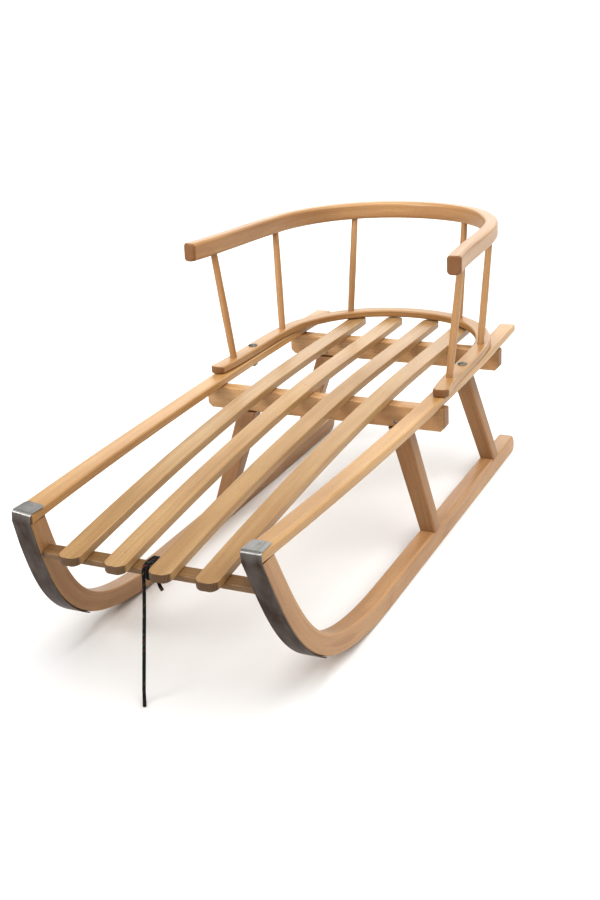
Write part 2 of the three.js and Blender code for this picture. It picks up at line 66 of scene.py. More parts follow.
def make_camera():
    data = bpy.data.cameras.new("camera")
    data.lens = CAMERA_LENS
    data.shift_x = 0.0037
    data.shift_y = -0.061
    camera = bpy.data.objects.new("camera", data)
    back = Vector((
        math.sin(CAMERA_AZIMUTH) * math.cos(CAMERA_ELEVATION),
        -math.cos(CAMERA_AZIMUTH) * math.cos(CAMERA_ELEVATION),
        math.sin(CAMERA_ELEVATION),
    ))
    right = (-back).cross(Vector((0, 0, 1))).normalized()
    up = right.cross(-back)
    rolled_right = right * math.cos(CAMERA_ROLL) + up * math.sin(CAMERA_ROLL)
    rolled_up = up * math.cos(CAMERA_ROLL) - right * math.sin(CAMERA_ROLL)
    turn = Matrix((rolled_right, rolled_up, back)).transposed().to_4x4()
    spot = Vector(to_frame(CAMERA_TARGET)) + back * CAMERA_DISTANCE
    camera.matrix_world = Matrix.Translation(spot) @ turn
    bpy.context.scene.collection.objects.link(camera)
    bpy.context.scene.camera = camera


KEY_LIGHT = {"aim_from": (0.42, -0.16, 1.0), "strength": 2.7, "spread": 80}
SOFTBOXES = {
    "back_softbox": {
        "place": (-0.6, 3.2, 1.3), "aim": (0, 0, 0.2), "size": (4.0, 1.6), "power": 30.0, "spread": 180,
    },
    "front_softbox": {
        "place": (-1.0, -1.5, 1.5), "aim": (0, 0.4, 0.4), "size": (1.0, 1.0), "power": 3.0, "spread": 50,
    },
}
SKY = {"strength": 0.2, "colour": (1.0, 0.985, 0.965)}


def make_studio():
    """A very large soft light above and a little to the right, two softboxes, and an even surround."""
    data = bpy.data.lights.new("overhead_softbox", "SUN")
    data.energy = KEY_LIGHT["strength"]
    data.angle = math.radians(KEY_LIGHT["spread"])
    light = bpy.data.objects.new("overhead_softbox", data)
    light.rotation_euler = (-Vector(KEY_LIGHT["aim_from"])).to_track_quat("-Z", "Y").to_euler()
    bpy.context.scene.collection.objects.link(light)
    for name, panel in SOFTBOXES.items():
        data = bpy.data.lights.new(name, "AREA")
        data.shape = "RECTANGLE"
        data.size, data.size_y = panel["size"]
        data.energy = panel["power"]
        data.spread = math.radians(panel["spread"])
        light = bpy.data.objects.new(name, data)
        light.location = panel["place"]
        aim = Vector(panel["aim"]) - Vector(panel["place"])
        light.rotation_euler = aim.to_track_quat("-Z", "Y").to_euler()
        light.visible_camera = False
        bpy.context.scene.collection.objects.link(light)
    world = bpy.data.worlds.new("studio")
    world.use_nodes = True
    background = world.node_tree.nodes["Background"]
    background.inputs["Color"].default_value = (*SKY["colour"], 1.0)
    background.inputs["Strength"].default_value = SKY["strength"]
    bpy.context.scene.world = world
    bpy.context.scene.view_settings.view_transform = "Standard"
    bpy.context.scene.view_settings.look = "High Contrast"


# ---------------------------------------------------------------- shader graphs


class Shader:
    """A material's node graph, built one node at a time."""

    def __init__(self, name, **constants):
        self.material = bpy.data.materials.new(name)
        self.material.use_nodes = True
        self.tree = self.material.node_tree
        self.surface = self.tree.nodes["Principled BSDF"]
        for socket, value in constants.items():
            self.surface.inputs[socket.replace("_", " ")].default_value = value

    def node(self, kind, settings=None, inputs=None):
        made = self.tree.nodes.new("ShaderNode" + kind)
        for key, value in (settings or {}).items():
            setattr(made, key, value)
        for key, value in (inputs or {}).items():
            socket = made.inputs[key]
            if isinstance(value, bpy.types.NodeSocket):
                self.tree.links.new(value, socket)
            else:
                socket.default_value = value
        return made

    def attribute(self, name, output="Vector"):
        return self.node("Attribute", {"attribute_name": name}).outputs[output]

    def stretch(self, vector, scale):
        return self.node("Mapping", None, {"Vector": vector, "Scale": scale}).outputs["Vector"]

    def noise(self, vector, scale=1.0, detail=3.0, roughness=0.5):
        inputs = {"Vector": vector, "Scale": scale, "Detail": detail, "Roughness": roughness}
        return self.node("TexNoise", None, inputs).outputs["Fac"]

    def math(self, operation, first, second=0.0, clamp=False):
        made = self.node("Math", {"operation": operation, "use_clamp": clamp}, {0: first, 1: second})
        return made.outputs[0]

    def fit(self, value, low, high, new_low=0.0, new_high=1.0):
        inputs = {"Value": value, "From Min": low, "From Max": high, "To Min": new_low, "To Max": new_high}
        return self.node("MapRange", {"clamp": True}, inputs).outputs["Result"]

    def mix(self, amount, first, second, blend="MIX"):
        made = self.node("Mix", {"data_type": "RGBA", "blend_type": blend})
        for index, value in ((0, amount), (6, first), (7, second)):
            if isinstance(value, bpy.types.NodeSocket):
                self.tree.links.new(value, made.inputs[index])
            else:
                made.inputs[index].default_value = value
        return made.outputs[2]

    def bump(self, height, strength, distance):
        inputs = {"Height": height, "Strength": strength, "Distance": distance}
        return self.node("Bump", None, inputs).outputs["Normal"]

    def set(self, socket, value):
        self.tree.links.new(value, self.surface.inputs[socket])


SAWN_TONES = ((0.52, 0.33, 0.175), (0.45, 0.268, 0.132), (0.32, 0.168, 0.074))
BENT_TONES = ((0.49, 0.3, 0.152), (0.41, 0.236, 0.11), (0.29, 0.143, 0.06))


def toned(tones, *factors):
    """The same wood, paler or darker: each tone's red, green and blue by its factor."""
    return [tuple(min(0.9, part * factor) for part, factor in zip(tone, factors)) for tone in tones]


def beech(name, tones, end_grain_and_painted_shade=0.6, roughness=0.42):
    """Lacquered beech. Grain runs (across, up, along) each piece, in metres; fibre is the way it points."""
    pale, middle, deep = tones
    shader = Shader(name, Coat_Weight=0.22, Coat_Roughness=0.22, Specular_IOR_Level=0.42)
    grain = shader.attribute("grain")
    edge = shader.attribute("edge", "Fac")
    streaks = shader.noise(shader.stretch(grain, (85, 85, 3.2)), 1.0, 4.0, 0.55)
    clouds = shader.noise(shader.stretch(grain, (22, 22, 5.0)), 1.0, 2.0)
    fibres = shader.noise(shader.stretch(grain, (950, 950, 22)), 1.0, 3.0, 0.6)
    colour = shader.mix(shader.fit(streaks, 0.36, 0.64), (*middle, 1), (*pale, 1))
    colour = shader.mix(shader.fit(clouds, 0.42, 0.72, 0.0, 0.5), colour, (*deep, 1))

    # growth rings, as shells about the tree's heart, which wander along the piece
    parts = shader.node("SeparateXYZ", None, {0: grain})
    square = shader.math("ADD", shader.math("MULTIPLY", parts.outputs[0], parts.outputs[0]),
                         shader.math("MULTIPLY", parts.outputs[1], parts.outputs[1]))
    wander = shader.noise(shader.stretch(grain, (14, 14, 2.4)), 1.0, 2.0)
    radius = shader.math("ADD", shader.math("SQRT", square), shader.math("MULTIPLY", wander, 0.016))
    ring = shader.math("FRACT", shader.math("MULTIPLY", radius, 1 / 0.0027))
    late = shader.math("POWER", ring, 3.5)
    colour = shader.mix(shader.math("MULTIPLY", late, 0.34), colour, (*deep, 1))

    # short dark ray flecks, and the fine fibre
    flecks = shader.node("TexVoronoi", {"feature": "F1"},
                         {"Vector": shader.stretch(grain, (900, 900, 170)), "Scale": 1.0, "Randomness": 1.0})
    spot = shader.fit(flecks.outputs["Distance"], 0.16, 0.3, 0.34, 0.0)
    colour = shader.mix(spot, colour, (deep[0] * 0.62, deep[1] * 0.56, deep[2] * 0.5, 1))
    shade = shader.fit(fibres, 0.3, 0.7, 0.91, 1.07)

    # one board is a little paler or darker than the next
    board = shader.noise(shader.stretch(grain, (6, 6, 0.3)), 1.0, 0.0)
    shade = shader.math("MULTIPLY", shade, shader.fit(board, 0.3, 0.7, 0.93, 1.07))
    grey = shader.node("CombineColor", None, {0: shade, 1: shade, 2: shade}).outputs[0]
    colour = shader.mix(1.0, colour, grey, "MULTIPLY")

    # end grain is browner and drinks the lacquer, and the end factor darkens it further as painted shade,
    # most on the slats' ends; rounded edges are a little paler, as painted highlight with some handling wear
    facing = shader.node("VectorMath", {"operation": "DOT_PRODUCT"}, {
        0: shader.node("NewGeometry").outputs["Normal"], 1: shader.attribute("fibre")}).outputs["Value"]
    end = shader.fit(shader.math("ABSOLUTE", facing), 0.12, 0.45)
    # the end tone is end grain plus painted shade: the smaller the end factor, the more shade is painted in
    end_grain_and_shade_tone = (deep[0] * end_grain_and_painted_shade, deep[1] * 0.92 * end_grain_and_painted_shade, deep[2] * 0.9 * end_grain_and_painted_shade, 1)
    end_amount = shader.math("MULTIPLY", end, shader.fit(late, 0.0, 1.0, 0.72, 0.95))
    colour = shader.mix(end_amount, colour, end_grain_and_shade_tone)
    # rounded edges are painted paler: a painted highlight along the edges, with some handling wear
    edge_wear_and_highlight = shader.math("MULTIPLY", edge, shader.fit(streaks, 0.35, 0.65, 0.0, 0.4))
    edge_wear_and_highlight = shader.math("MULTIPLY", edge_wear_and_highlight, shader.math("SUBTRACT", 1.0, end))
    colour = shader.mix(edge_wear_and_highlight, colour, (*(min(1, 1.14 * part) for part in pale), 1))
    shader.set("Base Color", colour)
    rough = shader.math("ADD", shader.fit(fibres, 0.25, 0.75, roughness - 0.07, roughness + 0.08),
                        shader.math("MULTIPLY", end, 0.18))
    shader.set("Roughness", rough)
    height = shader.math("SUBTRACT", fibres, shader.math("MULTIPLY", spot, 1.4))
    shader.set("Normal", shader.bump(height, 0.22, 0.00012))
    return shader.material


def rolled_steel(name, bright, patina_and_dark_reflection):
    """Steel strip, brushed along its length: pale on the plate and bend, as painted highlight and rub, and
    brown-black on the nose, as patina and painted dark reflection.
    """
    shader = Shader(name, Metallic=1.0)
    grain = shader.attribute("grain")
    edge = shader.attribute("edge", "Fac")
    highlight_and_rub = shader.attribute("highlight_and_rub", "Fac")
    scratches = shader.noise(shader.stretch(grain, (700, 700, 14)), 1.0, 3.0, 0.65)
    patches = shader.noise(shader.stretch(grain, (60, 60, 26)), 1.0, 3.0)
    # the share of bright steel: painted highlight and rub, set by place along the strip, plus random rubbed
    # patches
    lit_and_rubbed_share = shader.math("ADD", highlight_and_rub, shader.fit(patches, 0.3, 0.7, -0.12, 0.12), clamp=True)
    colour = shader.mix(lit_and_rubbed_share, (*patina_and_dark_reflection, 1), (*bright, 1))
    streak = tuple(min(1, 1.5 * part + 0.04) for part in patina_and_dark_reflection)
    colour = shader.mix(shader.fit(scratches, 0.45, 0.75, 0.0, 0.5), colour, (*streak, 1))
    colour = shader.mix(shader.math("MULTIPLY", edge, 0.4), colour, (*bright, 1))
    shader.set("Base Color", colour)
    shader.set("Roughness", shader.fit(scratches, 0.25, 0.75, 0.28, 0.52))
    shader.set("Normal", shader.bump(scratches, 0.3, 0.00008))
    return shader.material


def plated_steel(name, tone):
    """Plain fasteners, dull, with darker blooms."""
    shader = Shader(name, Metallic=1.0)
    place = shader.node("TexCoord").outputs["Object"]
    bloom = shader.noise(shader.stretch(place, (420, 420, 420)), 1.0, 4.0, 0.6)
    colour = shader.mix(shader.fit(bloom, 0.35, 0.7), (*tone, 1), (*(0.55 * part for part in tone), 1))
    shader.set("Base Color", colour)
    shader.set("Roughness", shader.fit(bloom, 0.3, 0.7, 0.3, 0.55))
    shader.set("Normal", shader.bump(bloom, 0.2, 0.0001))
    return shader.material


def lacquered_head(name, tone):
    """A countersunk nail head under the seat's tinted lacquer."""
    shader = Shader(name, Metallic=0.2, Roughness=0.45)
    place = shader.node("TexCoord").outputs["Object"]
    stain = shader.noise(shader.stretch(place, (600, 600, 600)), 1.0, 3.0)
    shader.set("Base Color", shader.mix(stain, (*tone, 1), (*(0.7 * part for part in tone), 1)))
    return shader.material


def braided_cord(name):
    """Black braid; a few carriers hold coloured yarn, and every yarn shows its own twist."""
    shader = Shader(name, Sheen_Weight=0.1, Sheen_Roughness=0.5, Specular_IOR_Level=0.35)
    grain = shader.attribute("grain")
    carrier = shader.attribute("carrier", "Fac")
    twist = shader.noise(shader.stretch(grain, (2600, 2600, 900)), 1.0, 2.0)
    fuzz = shader.noise(shader.stretch(grain, (800, 800, 160)), 1.0, 3.0)
    colour = shader.mix(shader.fit(twist, 0.35, 0.7), (0.004, 0.004, 0.005, 1), (0.018, 0.018, 0.02, 1))
    for index, tone in ((1, (0.26, 0.03, 0.02)), (2, (0.27, 0.2, 0.04)), (3, (0.24, 0.24, 0.23))):
        near = shader.math("COMPARE", carrier, float(index))
        near.node.inputs[2].default_value = 0.25
        lengths = shader.noise(shader.stretch(grain, (4, 4, 110 + 17 * index)), 1.0, 1.0)
        stitch = shader.fit(lengths, 0.56, 0.6)
        colour = shader.mix(shader.math("MULTIPLY", near, stitch), colour, (*tone, 1))
    shader.set("Base Color", colour)
    shader.set("Roughness", shader.fit(fuzz, 0.3, 0.7, 0.62, 0.85))
    shader.set("Normal", shader.bump(twist, 0.5, 0.00015))
    return shader.material


def studio_floor(name):
    shader = Shader(name, Roughness=0.8)
    place = shader.node("TexCoord").outputs["Object"]
    mottle = shader.noise(place, 3.0, 2.0)
    shader.set("Base Color", shader.mix(mottle, (0.78, 0.78, 0.777, 1), (0.82, 0.82, 0.817, 1)))
    return shader.material


# ---------------------------------------------------------------- mesh making


def corner_ring(width, height, radius, arc=5, lead=1.2):
    """A rounded rectangle as (across, up) points with edge weights, the same count for any size."""
    radius = min(radius, 0.49 * width, 0.49 * height)
    points, weights = [], []
    corners = ((1, -1, -90), (1, 1, 0), (-1, 1, 90), (-1, -1, 180))
    for across, up, start in corners:
        centre = np.array([across * (width / 2 - radius), up * (height / 2 - radius)])
        first = math.radians(start)
        last = math.radians(start + 90)
        before = np.array([-math.sin(first), math.cos(first)])
        after = np.array([-math.sin(last), math.cos(last)])
        reach = min(lead, 0.3 * (min(width, height) - 2 * radius) + 1e-3)
        points.append(centre + radius * np.array([math.cos(first), math.sin(first)]) - reach * before)
        weights.append(0.0)
        for step in range(arc + 1):
            angle = first + (last - first) * step / arc
            points.append(centre + radius * np.array([math.cos(angle), math.sin(angle)]))
            weights.append(math.sin(math.pi * step / arc))
        points.append(centre + radius * np.array([math.cos(last), math.sin(last)]) + reach * after)
        weights.append(0.0)
    return np.array(points), np.array(weights)


def round_ring(radius, count=28):
    angles = np.linspace(0, 2 * math.pi, count, endpoint=False)
    return np.stack([radius * np.cos(angles), radius * np.sin(angles)], 1), np.zeros(count)


class Station:
    """One cross-section of a piece: its centre, its two directions, its ring and its place along."""

    def __init__(self, centre, across, up, ring, along):
        self.centre = np.asarray(centre, float)
        self.across = np.asarray(across, float)
        self.up = np.asarray(up, float)
        self.ring, self.weights = ring
        self.along = along


def tube_faces(rows, count, first=0):
    """A closed tube's faces: rows of `count` points, the first of them numbered `first`."""
    faces = []
    for row in range(rows - 1):
        for column in range(count):
            following = (column + 1) % count
            low, high = first + row * count, first + (row + 1) * count
            faces.append((low + column, low + following, high + following, high + column))
    last = first + (rows - 1) * count
    faces.append(tuple(reversed(range(first, first + count))))
    faces.append(tuple(range(last, last + count)))
    return faces


def loft_arrays(stations):
    """Points, faces and the three point attributes: grain, fibre (the wood's own direction) and edge."""
    centres = np.array([station.centre for station in stations])
    ways = np.gradient(centres, axis=0)
    ways /= np.linalg.norm(ways, axis=1, keepdims=True)
    points, grain, fibre, edge = [], [], [], []
    for station, way in zip(stations, ways):
        ring = station.ring
        points.append(station.centre + ring[:, :1] * station.across + ring[:, 1:] * station.up)
        grain.append(np.column_stack([ring, np.full(len(ring), station.along)]))
        fibre.append(np.tile(way, (len(ring), 1)))
        edge.append(station.weights)
    faces = tube_faces(len(stations), len(stations[0].ring))
    return np.concatenate(points), faces, np.concatenate(grain), np.concatenate(fibre), np.concatenate(edge)


def grain_offset(name):
    """Where in its own log a piece was sawn, so that no two pieces share a pattern."""
    pick = random.Random(name)
    heart = pick.uniform(0, 2 * math.pi)
    depth = pick.uniform(45, 110)
    return np.array([depth * math.cos(heart), depth * math.sin(heart), pick.uniform(0, 9000)])


def make_mesh(name, points, faces, grain, vectors=None, values=None):
    mesh = bpy.data.meshes.new(name)
    mesh.from_pydata(to_frame(points).tolist(), [], faces)
    placed = (grain + grain_offset(name)) * MM
    for key, vector in {"grain": placed, **(vectors or {})}.items():
        layer = mesh.attributes.new(key, "FLOAT_VECTOR", "POINT")
        layer.data.foreach_set("vector", np.asarray(vector, float).ravel())
    for key, value in (values or {}).items():
        layer = mesh.attributes.new(key, "FLOAT", "POINT")
        layer.data.foreach_set("value", np.asarray(value, float))
    mesh.validate()
    mesh.shade_smooth()
    mesh.set_sharp_from_angle(angle=math.radians(40))
    made = bpy.data.objects.new(name, mesh)
    bpy.context.scene.collection.objects.link(made)
    return made


def finish_piece(made, node, material):
    made.data.materials.append(material)
    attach(made, "root")
    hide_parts(node)
    return made


def set_back(distance, radius):
    """How far a quarter-round corner stands back from the side, at a distance from the end."""
    if distance >= radius:
        return 0.0
    return radius - math.sqrt(max(0.0, radius ** 2 - (radius - distance) ** 2))


def distances(length, step, radii):
    """Places along a piece: even steps, and closer together where its ends are rounded."""
    near = {radius * (1 - math.sin(math.radians(angle))) for radius in radii for angle in range(0, 91, 15)}
    reach = max(radii)
    count = max(2, round((length - 2 * reach) / step) + 1)
    every = near | {length - distance for distance in near} | set(np.linspace(reach, length - reach, count))
    kept = []
    for distance in sorted(every):
        if not kept or distance - kept[-1] > 1e-4:
            kept.append(distance)
    return kept


class Route:
    """A smooth line through dense points, measured along its length."""

    def __init__(self, points):
        self.points = np.asarray(points, float)
        steps = np.linalg.norm(np.diff(self.points, axis=0), axis=1)
        self.marks = np.concatenate([[0.0], np.cumsum(steps)])
        self.length = self.marks[-1]

    def at(self, distance):
        place = [np.interp(distance, self.marks, self.points[:, axis]) for axis in range(3)]
        return np.array(place)

    def heading(self, distance, reach=2.0):
        low = max(0.0, distance - reach)
        high = min(self.length, distance + reach)
        way = self.at(high) - self.at(low)
        return way / np.linalg.norm(way)


def bezier(controls, count=80):
    share = np.linspace(0, 1, count)[:, None]
    points = [np.asarray(control, float) for control in controls]
    while len(points) > 1:
        points = [first * (1 - share) + second * share for first, second in zip(points, points[1:])]
    return points[0]


def chain(*curves):
    """Curves joined end to end, without the repeated points."""
    return np.concatenate([curves[0], *(curve[1:] for curve in curves[1:])])


def member(route, size, radius, side_axis, corner=0.0, ease=1.2, step=12.0):
    """A wooden member along a route, with rounded edges, and with its ends rounded in plan by `corner`.
    side_axis(heading) gives the direction across; size is (width, height)."""
    width, height = size
    stations = []
    length = route.length
    for distance in distances(length, step, [ease, corner] if corner else [ease]):
        from_end = min(distance, length - distance)
        heading = route.heading(distance)
        across = side_axis(heading)
        across = across / np.linalg.norm(across)
        up = np.cross(heading, across)
        if up[2] < 0:
            up = -up
        inset = set_back(from_end, ease)
        ring = corner_ring(width - 2 * inset - 2 * set_back(from_end, corner), height - 2 * inset,
                           max(0.3, radius - inset))
        stations.append(Station(route.at(distance), across, up, ring, distance))
    return stations


def facing_out(stations):
    """The stations in the order that makes the faces look outwards."""
    way = stations[-1].centre - stations[0].centre
    turn = np.cross(stations[0].across, stations[0].up)
    return stations if np.dot(turn, way) > 0 else stations[::-1]


# ---------------------------------------------------------------- dimensions shared with the CAD

GAP = 0.3
SEAT_BASE = 203.0
RAIL = {"length": 890, "width": 25, "thickness": 11.7, "front": 153.5, "bow": 188.7, "rear": 172.3}
RAIL_TOP = SEAT_BASE + GAP + RAIL["thickness"]
RUNNER = {
    "face": 172.8, "lean": 0.093, "thickness": 23, "height": 26, "end": 892,
    "edge": 3.2, "ease": 1.5, "end_sole_round": 12, "end_top_round": 7,
}
NOSE_OUTER = [(0, SEAT_BASE), (48, 86), (72, 0), (320, 0)]
NOSE_INNER = [(30, SEAT_BASE), (87, 76), (109, 26), (322, 26)]
STRIP = {"width": 24.4, "thickness": 1.2, "plate": 27.5, "bend": 3, "share": 0.6}
STRIP_NAIL = {"x": 142, "y": 20, "length": 30, "head": 4.6}
LEFT_TIP = {"rise": 3.6, "roll": 0.14, "middle": 141, "low": 175, "reach": 450}
BEAM = {"depth": 20, "height": 33, "chamfer": 6, "shift": 2, "edge": 2.8, "ease": 1.6}
MIDDLE_BEAM = {"y": 512, "half": 180, "leg_top": 129.3, "leg_foot_y": 503}
REAR_BEAM = {"y": 790.5, "half": 174.5, "leg_top": 126.3, "leg_foot_y": 789.3}
LEG = {
    "foot": 171.8, "foot_thickness": 23.5, "top_thickness": 28, "depth": 25, "ease": 3, "grain_length": 150,
}
FOOT_TENON = {"x": 160, "width": 12, "depth": 18, "height": 15}
TOP_TENON = {"width": 16, "depth": 10, "height": 15}
FRONT_BAR = {"y": 29, "z": 161, "depth": 19.5, "height": 8.5, "half": 133.8, "tilt": 0.129}
BAR_TENON = {"depth": 11, "height": 6.4, "half": 149}
SLAT = {"width": 27.5, "thickness": 10.5, "corner": 10}
ARCH_NOSE = [(-8, 160.75), (257.5, 196), (MIDDLE_BEAM["y"], SEAT_BASE + GAP)]
ARCH_BACK = [ARCH_NOSE[2], (604, 205.9), (697, 203.8), (REAR_BEAM["y"], SEAT_BASE + GAP)]
SLATS = {
    "slat_1": {"front": -88.5, "rear": -86.5, "tip": 0, "end": 872},
    "slat_2": {"front": -29.5, "rear": -27.5, "tip": -0.5, "end": 886},
    "slat_3": {"front": 27.2, "rear": 35, "tip": -1.5, "end": 886},
    "slat_4": {"front": 84.5, "rear": 93, "tip": -2, "end": 872},
}
NAIL = {"shank": 2.4, "head": 3.4}
SLAT_NAIL_ROWS = {"front": (29, 13), "middle": (516, 26), "rear": (792, 26)}
LOWER_HOOP = {
    "route": [(172.5, 513.5), (159.7, 600), (173.3, 721.4), (153.2, 778.4), (127, 852.5), (70.6, 891.5),
              (0, 891.5)],
    "left_tip": (171.7, 519.5),
    "width": 23, "height": 11, "bottom": RAIL_TOP + GAP, "rise": 0.0, "edge": 2.8, "tip": 8,
}
UPPER_HOOP = {
    "route": [(193, 512.5), (177.5, 599), (180.8, 728.2), (162.8, 786.5), (135, 876.5), (73.7, 920),
              (0, 920)],
    "left_tip": (192.9, 500.5),
    "width": 20, "height": 26, "bottom": 374, "rise": 0.028, "edge": 5.2, "tip": 6.5,
}
SPINDLE = {"neck": 9.6, "belly": 11, "foot_socket": 8, "top_socket": 14}
SPINDLES = {
    "spindle_front": {"left": ((167, 568.5), (185.8, 562.5)), "right": ((167, 570.5), (186.1, 563.5))},
    "spindle_middle": {"left": ((162.5, 730), (171.7, 741.5)), "right": ((161.8, 736), (170.5, 750))},
    "spindle_back": {"left": ((97.3, 859.7), (97.1, 888.2)), "right": ((87.5, 866.7), (87.2, 895.2))},
}
BOLT = {"x": 166.3, "y": 632, "diameter": 6, "head": 13.5, "dome": 2.6, "below_seat": 9}
WRAP = {
    "turns": 2.75, "first_x": 11.4, "pitch": 4.1, "radius": 9.3, "front_y": 24.7, "rear_y": 35, "z": 161.2,
}
ROPE_TAIL = [(24.5, 13, 145), (21.5, 14, 148.5), (17.7, 17, 151.4), (13.9, 22.5, 152)]
ROPE_FALL = [
    (0.2, 15.2, 152), (-0.8, 15.2, 138), (-2.4, 15.2, 120), (-4.9, 15.2, 95), (-7.3, 15.1, 70),
    (-9.7, 15, 45), (-11.6, 14.9, 25), (-12.6, 14.6, 12.5), (-11.4, 12.1, 5),
    (-8.3, 6.9, 2.4), (-5.3, 1.8, 2.3),
]
SIDES = {"left": -1, "right": 1}
HIGHLIGHT_AND_RUB = (0.9, 1.0, 0.75, 0.12, 0.0)    # how bright a strip is painted, from the plate over the bend to the nose: painted highlight with rub on the plate and bend, painted dark reflection with patina on the nose

# ---------------------------------------------------------------- the rope


def wrap_point(turn):
    angle = -math.pi / 2 + 2 * math.pi * turn
    share = min(1.0, max(0.0, 0.5 + 1.1 * math.cos(angle)))
    centre_y = WRAP["front_y"] + (WRAP["rear_y"] - WRAP["front_y"]) * share
    return (WRAP["first_x"] - WRAP["pitch"] * turn,
            centre_y + WRAP["radius"] * math.cos(angle),
            WRAP["z"] + WRAP["radius"] * math.sin(angle))


def rope_route():
    """A centripetal spline through the rope's tail, its turns round the front bar and its fall."""
    steps = round(12 * WRAP["turns"])
    wraps = [wrap_point(WRAP["turns"] * step / steps) for step in range(steps + 1)]
    knots = np.array([*ROPE_TAIL, *wraps, *ROPE_FALL], float)
    knots = np.vstack([2 * knots[0] - knots[1], knots, 2 * knots[-1] - knots[-2]])
    dense = []
    for index in range(1, len(knots) - 2):
        p0, p1, p2, p3 = knots[index - 1:index + 3]
        gaps = [math.sqrt(np.linalg.norm(b - a)) for a, b in ((p0, p1), (p1, p2), (p2, p3))]
        t0, t1 = 0.0, gaps[0]
        t2 = t1 + gaps[1]
        t3 = t2 + gaps[2]
        for t in np.linspace(t1, t2, 16, endpoint=False):
            a1 = (t1 - t) / (t1 - t0) * p0 + (t - t0) / (t1 - t0) * p1
            a2 = (t2 - t) / (t2 - t1) * p1 + (t - t1) / (t2 - t1) * p2
            a3 = (t3 - t) / (t3 - t2) * p2 + (t - t2) / (t3 - t2) * p3
            b1 = (t2 - t) / (t2 - t0) * a1 + (t - t0) / (t2 - t0) * a2
            b2 = (t3 - t) / (t3 - t1) * a2 + (t - t1) / (t3 - t1) * a3
            dense.append((t2 - t) / (t2 - t1) * b1 + (t - t1) / (t2 - t1) * b2)
    dense.append(knots[-2])
    return Route(dense)


def carried_frames(route, places):
    """Directions across the line that turn with it as little as possible."""
    frames = []
    across = None
    for place in places:
        heading = route.heading(place, 1.0)
        if across is None:
            across = np.cross(heading, (0.0, 0.0, 1.0))
        across = across - heading * np.dot(across, heading)
        across = across / np.linalg.norm(across)
        frames.append((route.at(place), across, np.cross(heading, across)))
    return frames


BRAID = {
    "carriers": 8, "pitch": 13.0, "middle": 1.66, "wave": 0.17, "yarn_width": 0.62, "yarn_height": 0.26,
    "core": 1.35, "rings": 560, "yarn_sides": 6, "core_sides": 10,
}
COLOURED_YARNS = {0: 1, 3: 2, 5: 3}    # which carriers hold coloured yarn, and which of the three colours


def yarn_rings(frames, places, start, sense, carriers):
    """One yarn of the braid: a flattened tube that winds round the rope, over and under the others."""
    rings = []
    for (centre, across, up), place in zip(frames, places):
        angle = start + sense * 2 * math.pi * place / BRAID["pitch"]
        wave = sense * math.cos(carriers * (place * 2 * math.pi / BRAID["pitch"]) + carriers * start / 2)
        radius = BRAID["middle"] + BRAID["wave"] * wave
        out = math.cos(angle) * across + math.sin(angle) * up
        side = -math.sin(angle) * across + math.cos(angle) * up
        ring = []
        for step in range(BRAID["yarn_sides"]):
            turn = 2 * math.pi * step / BRAID["yarn_sides"]
            ring.append(centre + out * (radius + BRAID["yarn_height"] * math.sin(turn))
                        + side * BRAID["yarn_width"] * math.cos(turn))
        rings.append(ring)
    return np.array(rings)


def make_rope(material):
    route = rope_route()
    places = np.linspace(0.6, route.length - 0.6, BRAID["rings"])
    frames = carried_frames(route, places)
    points, faces, grain, carrier = [], [], [], []

    def take(rings, tag):
        first = sum(len(part) for part in points)
        rows, count = rings.shape[:2]
        points.append(rings.reshape(-1, 3))
        faces.extend(tube_faces(rows, count, first))
        around = np.tile(np.linspace(-1, 1, count), rows)
        grain.append(np.column_stack([around, np.full(rows * count, 7.0 * tag), np.repeat(places, count)]))
        carrier.append(np.full(rows * count, float(tag)))

    turns = np.linspace(0, 2 * math.pi, BRAID["core_sides"], endpoint=False)
    core = [[centre + BRAID["core"] * (math.cos(turn) * across + math.sin(turn) * up) for turn in turns]
            for centre, across, up in frames]
    take(np.array(core), 0)
    for index in range(BRAID["carriers"]):
        start = 2 * math.pi * index / BRAID["carriers"]
        tag = COLOURED_YARNS.get(index, 0)
        take(yarn_rings(frames, places, start, 1, BRAID["carriers"]), tag)
        take(yarn_rings(frames, places, start, -1, BRAID["carriers"]), 0)
    rope = make_mesh("rope_braid", np.concatenate(points), faces, np.concatenate(grain),
                     values={"carrier": np.concatenate(carrier)})
    finish_piece(rope, "rope", material)
    line = to_frame([route.at(place) for place in np.linspace(0, route.length, 220)])


# ---------------------------------------------------------------- the wooden frame


def plan_side(heading):
    return np.cross(heading, (0.0, 0.0, 1.0))


def level_side(heading):
    return np.array([1.0, 0.0, 0.0])


def build(name, stations, material, change=None, values=None):
    """Lofts a piece that replaces the CAD node `name`; `change` moves its points at the end."""
    points, faces, grain, fibre, edge = loft_arrays(facing_out(stations))
    if change is not None:
        points = change(points)
    made = make_mesh(name + "_fine", points, faces, grain, {"fibre": fibre}, {"edge": edge, **(values or {})})
    return finish_piece(made, name, material)


def make_rail(side, name, material):
    half = RAIL["width"] / 2
    level = RAIL_TOP - RAIL["thickness"] / 2
    line = bezier([
        (side * (RAIL["front"] - half), 0, level),
        (side * (RAIL["bow"] - half), RAIL["length"] / 2, level),
        (side * (RAIL["rear"] - half), RAIL["length"], level),
    ])
    stations = member(Route(line), (RAIL["width"], RAIL["thickness"]), 2.6, plan_side, ease=1.6)
    build(name, stations, material, change=proud_tip(side))


